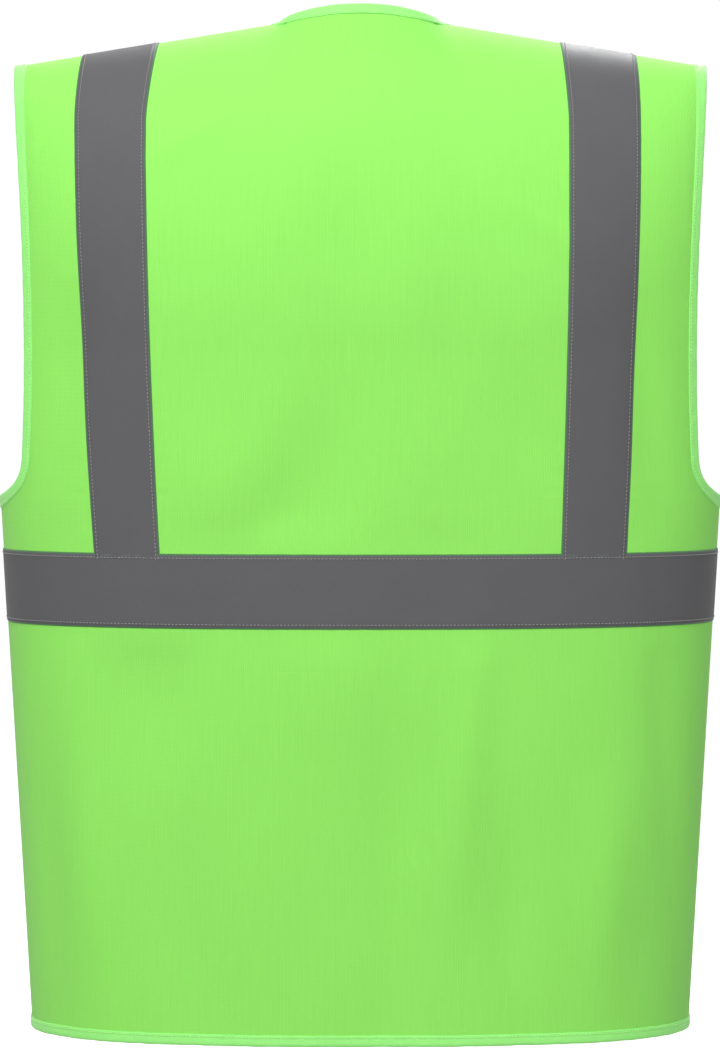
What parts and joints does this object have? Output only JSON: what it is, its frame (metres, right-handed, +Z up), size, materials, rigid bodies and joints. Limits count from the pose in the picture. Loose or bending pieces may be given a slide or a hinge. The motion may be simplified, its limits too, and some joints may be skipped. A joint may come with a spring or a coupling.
{
  "type": "high visibility vest",
  "caption": "Sleeveless zip-front safety waistcoat in fluorescent yellow-green knit, with a reflective waist band, two reflective braces, bound edges, patch pockets and flaps.",
  "frame": {"origin": "on the middle plane, above the wearer's shoulders at the height where the neckline meets the shoulder line; the hem is 0.7145 m below it", "axes": "+Z up, +Y towards the back of the vest, -Y towards the front, +X towards the wearer's left"},
  "size_m": [0.5162, 0.2591, 0.7256],
  "materials": {
    "fluorescent_knit": "fluorescent yellow-green warp-knitted polyester, fine vertical rib, matt",
    "reflective_tape": "grey glass-bead retroreflective tape, satin",
    "binding": "fluorescent bias tape, slightly paler than the cloth",
    "hook_and_loop": "dyed hook-and-loop tape, pile",
    "zip_tape": "woven polyester zip tape dyed to match",
    "zip_plastic": "moulded acetal zip teeth dyed to match",
    "zip_metal": "enamelled zinc casting",
    "clear_window": "clear flexible vinyl sheet",
    "label": "plain white satin ribbon, blank"
  },
  "bodies": {
    "root": {"back_panel": "fluorescent_knit", "back_waist_tape": "reflective_tape", "neck_binding_back": "binding", "hem_binding_back": "binding", "neck_label": "label", "left_shoulder_panel": "fluorescent_knit", "left_back_brace": "reflective_tape", "left_shoulder_brace": "reflective_tape", "left_neck_binding_upper": "binding", "left_armhole_binding": "binding", "right_shoulder_panel": "fluorescent_knit", "right_back_brace": "reflective_tape", "right_shoulder_brace": "reflective_tape", "right_neck_binding_upper": "binding", "right_armhole_binding": "binding"},
    "left_front": {"left_front_panel": "fluorescent_knit", "left_waist_tape": "reflective_tape", "left_front_brace": "reflective_tape", "left_neck_binding_lower": "binding", "left_armhole_binding_front": "binding", "left_hem_binding": "binding", "left_zip_tape": "zip_tape", "left_zip_chain": "zip_plastic", "left_top_stop": "zip_metal", "left_lower_pocket": "fluorescent_knit", "left_loop_patch": "hook_and_loop", "insertion_pin": "zip_plastic", "phone_pocket": "fluorescent_knit", "phone_loop_patch": "hook_and_loop", "pen_pocket": "fluorescent_knit"},
    "right_front": {"right_front_panel": "fluorescent_knit", "right_waist_tape": "reflective_tape", "right_front_brace": "reflective_tape", "right_neck_binding_lower": "binding", "right_armhole_binding_front": "binding", "right_hem_binding": "binding", "right_zip_tape": "zip_tape", "right_zip_chain": "zip_plastic", "right_top_stop": "zip_metal", "right_lower_pocket": "fluorescent_knit", "right_loop_patch": "hook_and_loop", "retainer_box": "zip_plastic", "id_pocket_window": "clear_window", "id_pocket_frame": "fluorescent_knit"},
    "left_flap": {"left_pocket_flap": "fluorescent_knit", "left_hook_patch": "hook_and_loop"},
    "right_flap": {"right_pocket_flap": "fluorescent_knit", "right_hook_patch": "hook_and_loop"},
    "phone_flap": {"phone_flap": "fluorescent_knit", "phone_hook_patch": "hook_and_loop"},
    "zip_slider": {"zip_slider": "zip_metal"},
    "zip_pull": {"zip_pull": "zip_metal"}
  },
  "joints": [
    {"name": "left_front", "type": "hinge", "parent": "root", "child": "left_front", "pos_m": [0.259, 0, -0.3365], "axis": [0.0581, 0, 0.9983], "range_deg": [0, 45]},
    {"name": "right_front", "type": "hinge", "parent": "root", "child": "right_front", "pos_m": [-0.259, 0, -0.3365], "axis": [0.0581, 0, -0.9983], "range_deg": [0, 45]},
    {"name": "zip_slider", "type": "slide", "parent": "right_front", "child": "zip_slider", "axis": [0, -0.0375, -0.9993], "range_m": [0, 0.448]},
    {"name": "zip_pull", "type": "hinge", "parent": "zip_slider", "child": "zip_pull", "pos_m": [0, -0.11588, -0.2472], "axis": [-1, 0, 0], "range_deg": [0, 160]},
    {"name": "left_flap", "type": "hinge", "parent": "left_front", "child": "left_flap", "pos_m": [0.0951, -0.1201, -0.4762], "axis": [-0.9919, -0.1269, 0], "range_deg": [0, 150]},
    {"name": "right_flap", "type": "hinge", "parent": "right_front", "child": "right_flap", "pos_m": [-0.0951, -0.1201, -0.4762], "axis": [-0.9919, 0.1269, 0], "range_deg": [0, 150]},
    {"name": "phone_flap", "type": "hinge", "parent": "left_front", "child": "phone_flap", "pos_m": [0.0632, -0.1141, -0.2402], "axis": [-0.9987, -0.0507, 0], "range_deg": [0, 150]}
  ]
}
